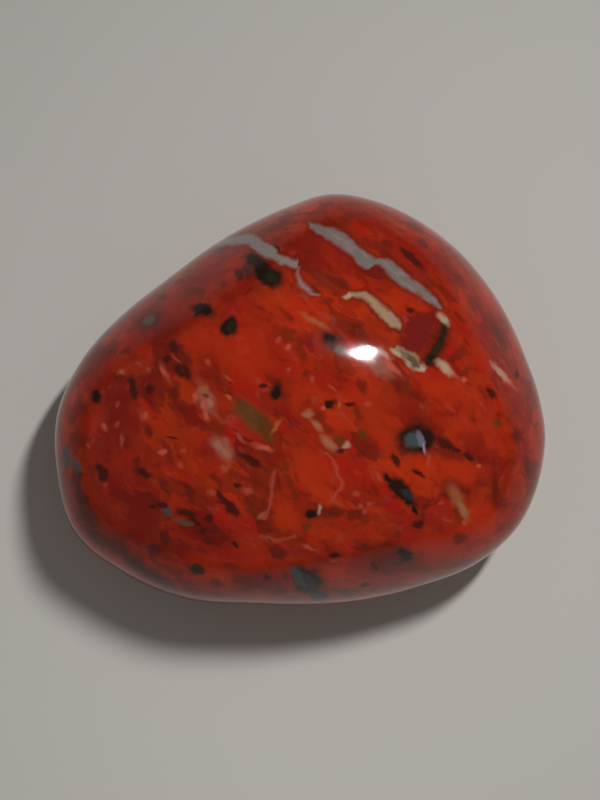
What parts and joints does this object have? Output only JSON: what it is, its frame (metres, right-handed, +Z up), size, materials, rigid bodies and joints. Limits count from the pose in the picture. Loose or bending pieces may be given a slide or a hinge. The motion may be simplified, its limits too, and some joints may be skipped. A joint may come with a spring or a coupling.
{
  "type": "poppy jasper tumbled stone",
  "caption": "Polished pebble of red poppy jasper with dark spots and grey veins. A loose natural stone that rests on its flattest side, to hold or display.",
  "frame": {"origin": "on the surface the stone rests on, under the middle of its footprint box", "axes": "+X along the stone's length, towards its blunt right corner; +Y towards the rounded apex of its outline; +Z up, out of the domed face that the picture shows"},
  "size_m": [0.0348, 0.0292, 0.0194],
  "materials": {
    "jasper": "tumbled to a wet-looking polish"
  },
  "bodies": {
    "root": {"stone": "jasper"}
  },
  "joints": []
}
